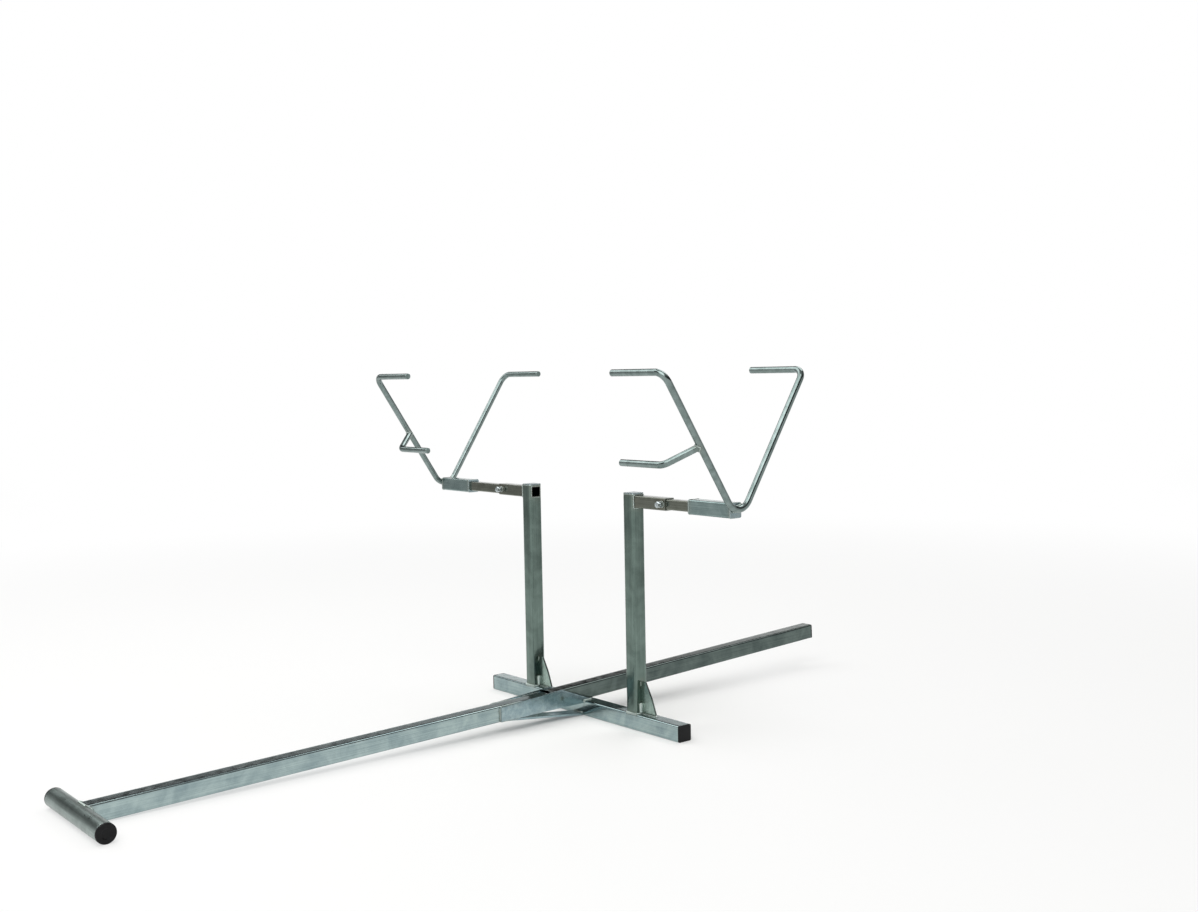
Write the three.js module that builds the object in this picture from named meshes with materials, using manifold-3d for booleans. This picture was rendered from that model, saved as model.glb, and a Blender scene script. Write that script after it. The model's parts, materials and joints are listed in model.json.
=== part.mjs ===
// Lever lift for the front of a ride-on mower, modelled in its raised position.
//
// A cross tube lies on the floor and carries two uprights. A long lever runs forward from it and ends
// in a T-bar that also lies on the floor, so the machine's weight holds the lever down. A support leg
// runs back under the machine; it hinges between two cheek plates and folds up between the uprights.
// Each upright carries an arm socket, in which a bar slides sideways. A clamp screw holds the bar, and
// its outer end carries the V-shaped rod cradle for one front wheel.
//
// Millimetres, +X to the right as seen from the lever, +Y back towards the machine, +Z up.
// The origin is on the floor, under the middle of the cross tube.

import * as THREE from "three";
import { mergeVertices } from "three/addons/utils/BufferGeometryUtils.js";
import Module from "manifold-3d";

// Clearances and finish shared by all pieces
const seam = 0.3; // between pieces that are welded or pressed together
const runningGap = 0.5; // on each side of the leg between its cheeks, and of the bar in its socket
const cutOverrun = 5; // how far a cutting body runs past the face that it cuts
const mergeTolerance = 1e-4; // points closer than this are one vertex
const floor = 0;

// Cross tube
const tubeSize = 40;
const tubeWall = 2;
const tubeCorner = 4;
const crossHalfLength = 383;

// Lever and its T-bar
const leverReach = 1295; // from the cross tube's middle to the T-bar's axis
const leverAxisHeight = 55.8; // where the lever's axis would pass over the cross tube's middle
const barDiameter = 42;
const barWall = 2.5;
const barLength = 306;

// Uprights
const uprightSize = 38;
const uprightOffset = 209;
const uprightOverSocket = 3; // tube left above the arm socket
const topPlateThickness = 3;

// Foot gussets
const gussetThickness = 5;
const gussetFoot = 53;
const gussetToe = 4; // height of its outer end on the cross tube
const gussetHeight = 80;
const gussetNose = 16; // width of its top on the upright
const gussetKneeOut = 38; // the knee in its sloping edge
const gussetKneeUp = 42;

// Support leg and its hinge
const legLength = 976;
const legRise = 2.5; // degrees
const legContactToPin = 71; // along the leg, from the cross tube's front edge to the hinge pin
const legNose = 22; // how far the leg runs past the pin
const leverEndGap = 2.5; // between the leg's swinging nose and the lever's end
const cheekThickness = 5;
const cheekReach = 281;
const cheekOverLeg = 2;
const cheekLip = 2; // room for the weld along the lever's edges
const cheekFootLength = 24;
const cheekFrontDrop = 6; // how far the cheek runs down the cross tube's front face
const pinDiameter = 12;
const bushDiameter = 18;

// Brace under the lever
const braceThickness = 6;
const braceReach = 266;
const braceFootHeight = 0.8;

// Arm sockets and clamp screws
const armHeight = 566;
const socketSize = 30;
const socketWall = 2;
const socketCorner = 3;
const socketEnd = 340; // from the middle of the lift to the socket's mouth
const screwInset = 12; // from the mouth to the screw
const screwDiameter = 8;
const screwHeadFlats = 13;
const screwHeadHeight = 5.5;
const screwShown = 4; // thread between nut and head
const weldNutHeight = 6.5;

// Cradles, which stand at different widths
const cradleReach = { right: 570, left: 633 };
const barSize = 25;
const barCorner = 3;
const slideBarLength = 345;
const sleeveSize = 35;
const sleeveWall = 2;
const sleeveCorner = 4;
const sleeveLength = 133.7;
const endPlateThickness = 3;
const rodDiameter = 16;
const wheelRoomHalf = 222; // from the middle of the V to each of its tops
const rodTopRise = 315; // from the arm's axis
const rodApexDrop = 29; // from the arm's axis to where the two legs' axes would meet
const apexBend = 38;
const topBend = 27;
const crossbarLength = 171;
const stopJoinRise = 151; // from the arm's axis to where the stop rod leaves the front leg
const stopInward = 53;
const stopForward = 63;
const stopDrop = 40;
const stopEnd = 194; // from the V's plane to the stop rod's free end
const stopBend = 25;

// Plastic end caps
const capFlange = 4;
const capPlugDepth = 16;
const capEdge = 1;
const barCapFlange = 6;
const barCapEdge = 3;
const barCapDishDiameter = 22;
const barCapDishDepth = 1.5;

// How finely round shapes are divided
const cornerSegments = 3;
const roundSegments = 24;
const rodSegments = 6;
const bendSegments = 7;

// Places that follow from the sizes
const halfTube = tubeSize / 2;
const barRadius = barDiameter / 2;
const leverAngle = Math.atan2(leverAxisHeight - barRadius, leverReach);
const leverAxisZ = (y) => leverAxisHeight + y * Math.tan(leverAngle);
const leverHalfHeight = halfTube / Math.cos(leverAngle);
const legAngle = THREE.MathUtils.degToRad(legRise);
const pin = {
  y: -halfTube - halfTube * Math.sin(legAngle) - legContactToPin * Math.cos(legAngle),
  z: tubeSize + seam + halfTube * Math.cos(legAngle) - legContactToPin * Math.sin(legAngle),
};
const legTopZ = (y) => pin.z + halfTube / Math.cos(legAngle) + (y - pin.y) * Math.tan(legAngle);
const leverEndY = pin.y - Math.hypot(legNose, halfTube) - leverEndGap;
const pinBore = pinDiameter + 2 * seam;
const cheekInnerX = halfTube + runningGap;
const cheekOuterX = cheekInnerX + cheekThickness;
const uprightTop = armHeight + socketSize / 2 + uprightOverSocket + topPlateThickness;
const screwX = socketEnd - screwInset;
const rodTopHeight = armHeight + rodTopRise;
const rodApexHeight = armHeight - rodApexDrop;
const stopJoinHeight = armHeight + stopJoinRise;
const rodRadius = rodDiameter / 2;

const wasm = await Module();
wasm.setup();

const materials = {
  zinc: new THREE.MeshStandardMaterial({ color: 0x9aa9a8, roughness: 0.42, metalness: 0.9 }),
  zincRod: new THREE.MeshStandardMaterial({ color: 0x8f9f9c, roughness: 0.38, metalness: 0.9 }),
  zincPlate: new THREE.MeshStandardMaterial({ color: 0xa3b0ae, roughness: 0.45, metalness: 0.9 }),
  fastener: new THREE.MeshStandardMaterial({ color: 0xb9c0bf, roughness: 0.32, metalness: 0.95 }),
  plastic: new THREE.MeshStandardMaterial({ color: 0x17181a, roughness: 0.55, metalness: 0 }),
};

// Solids are joined and cut here; only positions are kept, so that faces that meet share vertices.
function solid(geometry) {
  const plain = geometry.index ? geometry.toNonIndexed() : geometry.clone();
  plain.deleteAttribute("normal");
  plain.deleteAttribute("uv");
  const merged = mergeVertices(plain, mergeTolerance);
  return new wasm.Manifold(
    new wasm.Mesh({
      numProp: 3,
      vertProperties: merged.attributes.position.array,
      triVerts: new Uint32Array(merged.index.array),
    }),
  );
}

function geometryOf(body) {
  const { numProp, vertProperties, triVerts } = body.getMesh();
  const positions = new Float32Array(triVerts.length * 3);
  triVerts.forEach((v, i) => positions.set(vertProperties.subarray(v * numProp, v * numProp + 3), i * 3));
  const geometry = new THREE.BufferGeometry();
  geometry.setAttribute("position", new THREE.BufferAttribute(positions, 3));
  geometry.computeVertexNormals();
  return geometry;
}

function cut(geometry, ...cutters) {
  return geometryOf(cutters.reduce((body, cutter) => body.subtract(solid(cutter)), solid(geometry)));
}

function join(geometry, ...others) {
  return geometryOf(others.reduce((body, other) => body.add(solid(other)), solid(geometry)));
}

function roundedSquare(size, corner, shape = new THREE.Shape()) {
  const flat = size / 2 - corner;
  const quarter = Math.PI / 2;
  for (const [x, y, turn] of [[flat, -flat, 3], [flat, flat, 0], [-flat, flat, 1], [-flat, -flat, 2]]) {
    shape.absarc(x, y, corner, turn * quarter, (turn + 1) * quarter, false);
  }
  shape.closePath();
  return shape;
}

// A section extruded along +Y, from y = 0
function alongY(shape, length) {
  const options = { depth: length, bevelEnabled: false, curveSegments: cornerSegments };
  return new THREE.ExtrudeGeometry(shape, options).rotateX(-Math.PI / 2).rotateY(Math.PI);
}

// A square tube along +Y, from y = 0
function squareTube(size, wall, corner, length) {
  const shape = roundedSquare(size, corner);
  shape.holes.push(roundedSquare(size - 2 * wall, Math.max(corner - wall, wall / 2), new THREE.Path()));
  return alongY(shape, length);
}

// An outline in Y and Z, given as [y, z] points, made into a plate across X from x0
function plateAcrossX(outline, x0, thickness) {
  const shape = new THREE.Shape(outline.map(([y, z]) => new THREE.Vector2(y, z)));
  return new THREE.ExtrudeGeometry(shape, { depth: thickness, bevelEnabled: false })
    .rotateY(Math.PI / 2)
    .rotateX(Math.PI / 2)
    .translate(x0, 0, 0);
}

// A round bar along X, from x0
function roundAlongX(diameter, length, x0, segments = roundSegments) {
  return new THREE.CylinderGeometry(diameter / 2, diameter / 2, length, segments)
    .rotateZ(Math.PI / 2)
    .translate(x0 + length / 2, 0, 0);
}

function hexAlongX(flats, length, x0) {
  return roundAlongX(flats / Math.cos(Math.PI / 6), length, x0, 6);
}

function ringAlongX(outer, inner, length, x0) {
  return cut(
    roundAlongX(outer, length, x0),
    roundAlongX(inner, length + 2 * cutOverrun, x0 - cutOverrun),
  );
}

// The axis of a bent rod: straight runs between corners that are rounded to a bend radius
class RodAxis extends THREE.Curve {
  constructor(corners, bends) {
    super();
    this.points = [corners[0]];
    for (let i = 1; i < corners.length - 1; i += 1) {
      const towardsLast = corners[i - 1].clone().sub(corners[i]).normalize();
      const towardsNext = corners[i + 1].clone().sub(corners[i]).normalize();
      const turn = Math.PI - towardsLast.angleTo(towardsNext);
      const middle = towardsLast.clone().add(towardsNext).normalize();
      const centre = corners[i].clone().addScaledVector(middle, bends[i - 1] / Math.cos(turn / 2));
      const start = corners[i].clone().addScaledVector(towardsLast, bends[i - 1] * Math.tan(turn / 2));
      const spoke = start.sub(centre);
      const axle = towardsNext.clone().cross(towardsLast).normalize();
      for (let k = 0; k <= bendSegments; k += 1) {
        const arm = spoke.clone().applyAxisAngle(axle, (turn * k) / bendSegments);
        this.points.push(arm.add(centre));
      }
    }
    this.points.push(corners[corners.length - 1]);
    this.runs = this.points.length - 1;
  }

  getPointAt(u, target = new THREE.Vector3()) {
    return target.copy(this.points[Math.round(u * this.runs)]);
  }

  getTangentAt(u, target = new THREE.Vector3()) {
    const i = Math.round(u * this.runs);
    const last = this.points[Math.max(i - 1, 0)];
    const next = this.points[Math.min(i + 1, this.runs)];
    const here = this.points[i];
    target.set(0, 0, 0);
    if (i > 0) target.add(here.clone().sub(last).normalize());
    if (i < this.runs) target.add(next.clone().sub(here).normalize());
    return target.normalize();
  }
}

function bentRod(corners, bends) {
  const axis = new RodAxis(corners, bends);
  const section = new THREE.Shape().absarc(0, 0, rodRadius, 0, 2 * Math.PI, false);
  return new THREE.ExtrudeGeometry(section, {
    extrudePath: axis,
    steps: axis.runs,
    curveSegments: rodSegments,
    bevelEnabled: false,
  });
}

const lift = new THREE.Group();

function place(name, geometry, material, parent = lift) {
  const mesh = new THREE.Mesh(geometry, material);
  mesh.name = name;
  parent.add(mesh);
  return mesh;
}

// A square cap along +Y: a flange over the tube's end at y = 0, and a plug inside the tube
function squareCap() {
  const plugSize = tubeSize - 2 * tubeWall - 2 * seam;
  const plug = alongY(roundedSquare(plugSize, tubeCorner - tubeWall), capPlugDepth + capFlange / 2);
  const rim = alongY(roundedSquare(tubeSize, tubeCorner), capFlange - capEdge);
  const face = alongY(roundedSquare(tubeSize - 2 * capEdge, tubeCorner - capEdge), capFlange);
  return join(plug.translate(0, -capPlugDepth, 0), rim.translate(0, seam, 0), face.translate(0, seam, 0));
}

// Cross tube and its caps
function addCrossTube() {
  const tubeHalf = crossHalfLength - capFlange - seam;
  const tube = squareTube(tubeSize, tubeWall, tubeCorner, 2 * tubeHalf).translate(0, -tubeHalf, 0);
  place("cross_tube", tube.rotateZ(-Math.PI / 2).translate(0, 0, halfTube), materials.zinc);
  for (const [side, turn] of [["right", -1], ["left", 1]]) {
    const cap = squareCap().translate(0, tubeHalf, 0).rotateZ((turn * Math.PI) / 2);
    place(`cross_tube_cap_${side}`, cap.translate(0, 0, halfTube), materials.plastic);
  }
}

// Lever and T-bar, in a group that tilts with the lever
function addLever() {
  const group = new THREE.Group();
  group.position.set(0, -leverReach, barRadius);
  group.rotation.x = leverAngle;
  lift.add(group);

  const length = (leverReach + leverEndY) / Math.cos(leverAngle);
  const saddle = roundAlongX(barDiameter + 2 * seam, 2 * tubeSize, -tubeSize);
  const lever = cut(squareTube(tubeSize, tubeWall, tubeCorner, length), saddle);
  place("lever_tube", lever, materials.zinc, group);

  const tubeLength = barLength - 2 * (barCapFlange + seam);
  const bore = barDiameter - 2 * barWall;
  place("t_bar", ringAlongX(barDiameter, bore, tubeLength, -tubeLength / 2), materials.zinc, group);

  const plugRadius = bore / 2 - seam;
  const dishRadius = barCapDishDiameter / 2;
  const profile = [
    [0, -capPlugDepth],
    [plugRadius, -capPlugDepth],
    [plugRadius, seam],
    [barRadius, seam],
    [barRadius, seam + barCapFlange - barCapEdge],
    [barRadius - barCapEdge, seam + barCapFlange],
    [dishRadius, seam + barCapFlange],
    [dishRadius - barCapDishDepth, seam + barCapFlange - barCapDishDepth],
    [0, seam + barCapFlange - barCapDishDepth],
  ].map(([r, along]) => new THREE.Vector2(r, along));
  for (const [side, turn] of [["right", -1], ["left", 1]]) {
    const cap = new THREE.LatheGeometry(profile, roundSegments).translate(0, tubeLength / 2, 0);
    place(`t_bar_cap_${side}`, cap.rotateZ((turn * Math.PI) / 2), materials.plastic, group);
  }
}

// Cheek plates: welded to the lever's sides and to the cross tube, they hold the leg's hinge pin
function addCheeks() {
  const front = -cheekReach;
  const back = cheekFootLength - halfTube;
  const outline = [
    [front, leverAxisZ(front) - leverHalfHeight + cheekLip],
    [-halfTube - seam, tubeSize - cheekFrontDrop],
    [-halfTube - seam, tubeSize + seam],
    [back, tubeSize + seam],
    [pin.y, legTopZ(pin.y) + cheekOverLeg],
    [front, leverAxisZ(front) + leverHalfHeight - cheekLip],
  ];
  const hole = roundAlongX(pinBore, 4 * tubeSize, -2 * tubeSize).translate(0, pin.y, pin.z);
  for (const [side, x0] of [["right", cheekInnerX], ["left", -cheekOuterX]]) {
    place(`hinge_cheek_${side}`, cut(plateAcrossX(outline, x0, cheekThickness), hole), materials.zincPlate);
  }
}

// Brace: a flat bar under the lever, down to the foot of the cross tube's front face
function addBrace() {
  const underLever = (y) => leverAxisZ(y) - leverHalfHeight - seam;
  const foot = { y: -halfTube - seam, z: floor + braceFootHeight };
  const slope = (underLever(-braceReach) - foot.z) / (-braceReach - foot.y);
  const leverSlope = Math.tan(leverAngle);
  const rise = braceThickness * Math.hypot(1, slope);
  const upperEndY = (foot.z + rise - slope * foot.y - underLever(0)) / (leverSlope - slope);
  const outline = [
    [-braceReach, underLever(-braceReach)],
    [foot.y, foot.z],
    [foot.y, foot.z + rise],
    [upperEndY, underLever(upperEndY)],
  ];
  place("lever_brace", plateAcrossX(outline, -halfTube, tubeSize), materials.zincPlate);
}

// Support leg: it turns about the hinge pin and rests on the cross tube's front edge
function addSupportLeg() {
  const group = new THREE.Group();
  group.position.set(0, pin.y, pin.z);
  group.rotation.x = legAngle;
  lift.add(group);

  const tubeLength = legLength - capFlange - seam;
  const tube = squareTube(tubeSize, tubeWall, tubeCorner, tubeLength).translate(0, -legNose, 0);
  const bushHole = roundAlongX(bushDiameter + 2 * seam, 2 * tubeSize, -tubeSize);
  place("support_leg", cut(tube, bushHole), materials.zinc, group);
  place(
    "support_leg_bush",
    ringAlongX(bushDiameter, pinBore, tubeSize, -halfTube),
    materials.zincPlate,
    group,
  );
  place("support_leg_cap", squareCap().translate(0, tubeLength - legNose, 0), materials.plastic, group);
}

// Hinge pin: a round bar through both cheeks, welded in and ground flush with their outer faces
function addHingePin() {
  const bar = roundAlongX(pinDiameter, 2 * cheekOuterX, -cheekOuterX);
  place("hinge_pin", bar.translate(0, pin.y, pin.z), materials.zincRod);
}

// Uprights, each with a window for the arm socket, a plate on top and a gusset at its foot
function addUpright(side, sign) {
  const length = uprightTop - topPlateThickness - tubeSize - 2 * seam;
  const x = sign * uprightOffset;
  const windowSize = socketSize + 2 * seam;
  const window = new THREE.BoxGeometry(2 * uprightSize, windowSize, windowSize).translate(x, 0, armHeight);
  const tube = squareTube(uprightSize, tubeWall, tubeCorner, length)
    .rotateX(Math.PI / 2)
    .translate(x, 0, tubeSize + seam);
  place(`upright_${side}`, cut(tube, window), materials.zinc);

  const topPlate = alongY(roundedSquare(uprightSize, tubeCorner), topPlateThickness)
    .rotateX(Math.PI / 2)
    .translate(x, 0, uprightTop - topPlateThickness);
  place(`upright_top_${side}`, topPlate, materials.zincPlate);

  const outline = [
    [0, 0],
    [gussetFoot, 0],
    [gussetFoot, gussetToe],
    [gussetKneeOut, gussetKneeUp],
    [gussetNose, gussetHeight],
    [0, gussetHeight],
  ];
  const shape = new THREE.Shape(outline.map(([out, up]) => new THREE.Vector2(out, up)));
  const gusset = new THREE.ExtrudeGeometry(shape, { depth: gussetThickness, bevelEnabled: false })
    .rotateX(Math.PI / 2)
    .translate(x + uprightSize / 2 + seam, gussetThickness / 2, tubeSize + seam);
  place(`foot_gusset_${side}`, gusset, materials.zincPlate);
}

// Arm socket through the upright, with the weld nut and clamp screw on its front
function addSocket(side, sign) {
  const innerX = uprightOffset - uprightSize / 2;
  const socket = squareTube(socketSize, socketWall, socketCorner, socketEnd - innerX)
    .rotateZ((-sign * Math.PI) / 2)
    .translate(sign * innerX, 0, armHeight);
  const screwBore = screwDiameter + 2 * seam;
  const hole = new THREE.CylinderGeometry(screwBore / 2, screwBore / 2, socketSize, roundSegments)
    .translate(sign * screwX, -socketSize / 2, armHeight);
  place(`arm_socket_${side}`, cut(socket, hole), materials.zinc);

  const onFront = (geometry) => geometry.rotateZ(-Math.PI / 2).translate(sign * screwX, 0, armHeight);
  const nutStart = socketSize / 2 + seam;
  const nutBore = roundAlongX(screwBore, weldNutHeight + 2 * cutOverrun, nutStart - cutOverrun);
  const nut = cut(hexAlongX(screwHeadFlats, weldNutHeight, nutStart), nutBore);
  place(`clamp_nut_${side}`, onFront(nut), materials.fastener);

  const tip = barSize / 2 + seam;
  const headStart = nutStart + weldNutHeight + screwShown;
  const shank = roundAlongX(screwDiameter, headStart + screwHeadHeight / 2 - tip, tip);
  const head = hexAlongX(screwHeadFlats, screwHeadHeight, headStart);
  place(`clamp_screw_${side}`, onFront(join(shank, head)), materials.fastener);
}

// Cradle: slide bar, sleeve, end plate, V-shaped rod and stop rod, all welded together.
// Points are given with x measured inwards from the V's plane.
function addCradle(side, sign) {
  const cradle = new THREE.Group();
  cradle.position.x = sign * cradleReach[side];
  lift.add(cradle);
  const at = (inward, y, z) => new THREE.Vector3(-sign * inward, y, z);

  const inwards = (geometry, start) =>
    geometry.rotateZ((sign * Math.PI) / 2).translate(-sign * start, 0, armHeight);
  const endPlate = () => alongY(roundedSquare(sleeveSize, sleeveCorner), endPlateThickness);
  const outerPlate = rodRadius + seam;
  const sleeveStart = outerPlate + endPlateThickness + seam;
  const innerPlate = sleeveStart + sleeveLength + seam;
  place(`sleeve_outer_plate_${side}`, inwards(endPlate(), outerPlate), materials.zincPlate, cradle);
  const sleeve = squareTube(sleeveSize, sleeveWall, sleeveCorner, sleeveLength);
  place(`cradle_sleeve_${side}`, inwards(sleeve, sleeveStart), materials.zinc, cradle);
  const windowSize = barSize + 2 * seam;
  const window = new THREE.BoxGeometry(windowSize, endPlateThickness + 2 * cutOverrun, windowSize)
    .translate(0, endPlateThickness / 2, 0);
  const windowed = cut(endPlate(), window);
  place(`sleeve_inner_plate_${side}`, inwards(windowed, innerPlate), materials.zincPlate, cradle);
  const bar = squareTube(barSize, tubeWall, barCorner, slideBarLength);
  place(`slide_bar_${side}`, inwards(bar, sleeveStart), materials.zinc, cradle);

  const corners = [
    at(crossbarLength, -wheelRoomHalf, rodTopHeight),
    at(0, -wheelRoomHalf, rodTopHeight),
    at(0, 0, rodApexHeight),
    at(0, wheelRoomHalf, rodTopHeight),
    at(crossbarLength, wheelRoomHalf, rodTopHeight),
  ];
  place(`cradle_rod_${side}`, bentRod(corners, [topBend, apexBend, topBend]), materials.zincRod, cradle);

  const joinShare = (stopJoinHeight - rodApexHeight) / (rodTopHeight - rodApexHeight);
  const joinY = -wheelRoomHalf * joinShare;
  const legPoint = at(0, joinY, stopJoinHeight);
  const legDirection = corners[1].clone().sub(corners[2]).normalize();
  const stopCorners = [
    legPoint,
    at(stopInward, joinY - stopForward, stopJoinHeight - stopDrop),
    at(stopEnd, joinY - stopForward, stopJoinHeight - stopDrop),
  ];
  const legRadius = rodRadius + seam;
  const turnToLeg = new THREE.Quaternion().setFromUnitVectors(new THREE.Vector3(0, 1, 0), legDirection);
  const legSpace = new THREE.CylinderGeometry(legRadius, legRadius, 4 * rodDiameter, roundSegments)
    .applyQuaternion(turnToLeg)
    .translate(legPoint.x, legPoint.y, legPoint.z);
  place(`stop_rod_${side}`, cut(bentRod(stopCorners, [stopBend]), legSpace), materials.zincRod, cradle);
}

addCrossTube();
addLever();
addCheeks();
addBrace();
addSupportLeg();
addHingePin();
for (const [side, sign] of [["right", 1], ["left", -1]]) {
  addUpright(side, sign);
  addSocket(side, sign);
  addCradle(side, sign);
}

export default lift;
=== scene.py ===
import json
from math import atan, atan2, ceil, cos, exp, hypot, pi, radians, sin, sqrt, tan

import bmesh
import bpy
from mathutils import Matrix, Vector
from mathutils.kdtree import KDTree


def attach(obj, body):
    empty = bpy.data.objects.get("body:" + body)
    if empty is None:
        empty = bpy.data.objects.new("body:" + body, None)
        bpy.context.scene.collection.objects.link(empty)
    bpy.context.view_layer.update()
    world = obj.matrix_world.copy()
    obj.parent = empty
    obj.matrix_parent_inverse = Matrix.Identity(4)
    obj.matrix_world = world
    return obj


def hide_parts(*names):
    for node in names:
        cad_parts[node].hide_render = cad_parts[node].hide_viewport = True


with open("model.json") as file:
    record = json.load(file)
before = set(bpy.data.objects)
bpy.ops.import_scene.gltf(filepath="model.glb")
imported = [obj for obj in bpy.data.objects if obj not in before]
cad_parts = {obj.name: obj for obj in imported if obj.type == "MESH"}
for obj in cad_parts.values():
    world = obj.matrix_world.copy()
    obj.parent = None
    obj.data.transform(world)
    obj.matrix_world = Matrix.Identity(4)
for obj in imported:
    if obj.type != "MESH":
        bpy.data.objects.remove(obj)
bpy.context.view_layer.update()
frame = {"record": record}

# Camera
# It stands to the right of the lever, as high as the tops of the Vs, and looks past the uprights.
# Its place, turn and lens were fitted to the straight edges of the real lift.
mm = 0.001
camera_place = Vector((2719.45, -2174.06, 884.57)) * mm
camera_yaw, camera_pitch, camera_roll = radians(50.533), radians(-3.560), radians(-1.0466)
image_width = 1198
focal_pixels = 1356.51
sensor_width = 36

ahead = Vector((
    -sin(camera_yaw) * cos(camera_pitch), cos(camera_yaw) * cos(camera_pitch), sin(camera_pitch)))
level = ahead.cross(Vector((0, 0, 1))).normalized()
upright = level.cross(ahead)
sideways = level * cos(camera_roll) + upright * sin(camera_roll)
upwards = upright * cos(camera_roll) - level * sin(camera_roll)


def add_object(name, data):
    """A new object in the scene."""
    made = bpy.data.objects.new(name, data)
    bpy.context.scene.collection.objects.link(made)
    return made


camera = add_object("camera", bpy.data.cameras.new("camera"))
camera.data.sensor_width = sensor_width
camera.data.lens = sensor_width * focal_pixels / image_width
camera.data.clip_start, camera.data.clip_end = 0.05, 400
camera_turn = Matrix((sideways, upwards, -ahead)).transposed()
camera.matrix_world = Matrix.Translation(camera_place) @ camera_turn.to_4x4()
bpy.context.scene.camera = camera

# Cross tube
# A length of 40 x 40 x 2 mm cold-rolled square tube that lies on the floor. Like every steel piece
# of the lift it is bright zinc plated after welding. Its sawn ends take black plastic inserts.
tube_size, tube_wall, tube_corner = 40, 2, 4
half_tube = tube_size / 2
cross_half = 378.7
# Where the uprights, the toes of their gussets and the cheek plates are welded on
cross_welds = (-209, -137, -25, 25, 209, 281)
broken_edge, sharpest_corner = 0.4, 0.3
# The rings of a mesh beside a weld, by their distance from it
heat_steps = (0, 3, 7, 12, 18, 26, 36, 50)

bodies = frame["record"]["behaviour"]["bodies"]
body_of = {node: body for body, nodes in bodies.items() for node in nodes}
zinc_pieces = []
weld_points = []


def linear(colour):
    """An sRGB hex colour as linear red, green, blue and alpha."""
    parts = [int(colour[i:i + 2], 16) / 255 for i in (1, 3, 5)]
    return [c / 12.92 if c <= 0.04045 else ((c + 0.055) / 1.055) ** 2.4 for c in parts] + [1]


def add_node(tree, kind, inputs=None, **settings):
    """A node with its settings, and each input either set to a value or linked to a socket."""
    node = tree.nodes.new("ShaderNode" + kind)
    for name, value in settings.items():
        setattr(node, name, value)
    for name, value in (inputs or {}).items():
        if isinstance(value, bpy.types.NodeSocket):
            tree.links.new(value, node.inputs[name])
        else:
            node.inputs[name].default_value = value
    return node


def zinc_plated(name, pale, deep, roughness, grain):
    """Bright zinc on steel: a soft, slightly blue-green metal with cloudy tone, faint working lines
    (grain gives their size in mm along X, Y and Z), polished edges and dull plating at welds."""
    material = bpy.data.materials.new("bright zinc on " + name)
    material.use_nodes = True
    tree = material.node_tree
    place = add_node(tree, "TexCoord").outputs["Object"]

    # The plating bath leaves clouds a few centimetres across; the lines come from rolling. Real
    # lines are about 0.2 mm apart, and are drawn ten times as coarse, so that they show.
    clouds = add_node(tree, "TexNoise", {
        "Vector": place, "Scale": 1 / (42 * mm), "Detail": 5, "Roughness": 0.6, "Distortion": 0.5})
    stretched = add_node(tree, "Mapping", {
        "Vector": place, "Scale": [1 / (size * mm) for size in grain]})
    lines = add_node(tree, "TexNoise", {
        "Vector": stretched.outputs["Vector"], "Scale": 1, "Detail": 1, "Roughness": 0.5})
    both = add_node(tree, "Mix", {
        0: 0.4, 2: clouds.outputs["Fac"], 3: lines.outputs["Fac"]}, data_type="FLOAT")
    tone = add_node(tree, "MapRange", {
        "Value": both.outputs[0], "From Min": 0.36, "From Max": 0.64})
    body = add_node(tree, "Mix", {
        0: tone.outputs["Result"], 6: linear(deep), 7: linear(pale)}, data_type="RGBA")

    # Handling polishes the outer 1.5 mm of each edge
    softened = add_node(tree, "Bevel", {"Radius": 1.5 * mm}, samples=4)
    facing = add_node(tree, "NewGeometry").outputs["Normal"]
    turn = add_node(tree, "VectorMath", {
        0: softened.outputs["Normal"], 1: facing}, operation="DOT_PRODUCT")
    edge = add_node(tree, "MapRange", {
        "Value": turn.outputs["Value"], "From Min": 1, "From Max": 0.86, "To Max": 0.4})
    polished = add_node(tree, "Mix", {
        0: edge.outputs["Result"], 6: body.outputs[2], 7: linear("#BCCBC8")}, data_type="RGBA")

    # Beside a weld the plating is dull and a little brown, in patches about 6 mm wide
    heat = add_node(tree, "Attribute", attribute_name="weld_heat")
    patches = add_node(tree, "TexNoise", {"Vector": place, "Scale": 1 / (6 * mm), "Detail": 2})
    broken = add_node(tree, "MapRange", {
        "Value": patches.outputs["Fac"], "From Min": 0.35, "From Max": 0.62, "To Min": 0.15})
    dull = add_node(tree, "Math", {
        0: heat.outputs["Fac"], 1: broken.outputs["Result"]}, operation="MULTIPLY")
    stained = add_node(tree, "Mix", {
        0: dull.outputs["Value"], 6: polished.outputs[2], 7: linear("#857C6C")}, data_type="RGBA")

    smears = add_node(tree, "TexNoise", {"Vector": place, "Scale": 1 / (17 * mm), "Detail": 3})
    gloss = add_node(tree, "MapRange", {
        "Value": smears.outputs["Fac"], "From Min": 0.3, "From Max": 0.7,
        "To Min": roughness - 0.03, "To Max": roughness + 0.05})
    rough = add_node(tree, "Math", {
        0: dull.outputs["Value"], 1: 0.22, 2: gloss.outputs["Result"]}, operation="MULTIPLY_ADD")
    relief = add_node(tree, "Bump", {
        "Height": lines.outputs["Fac"], "Strength": 0.2, "Distance": 0.005 * mm})

    shader = tree.nodes["Principled BSDF"]
    shader.inputs["Metallic"].default_value = 1
    tree.links.new(stained.outputs[2], shader.inputs["Base Color"])
    tree.links.new(rough.outputs["Value"], shader.inputs["Roughness"])
    tree.links.new(relief.outputs["Normal"], shader.inputs["Normal"])
    return material


# Drawn and rolled tube keeps lines that run along it, so its reflections are streaked lengthwise
plated_tube = zinc_plated("cold-rolled tube", "#A8B9B8", "#84979A", 0.14, (180, 2, 2))


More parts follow.
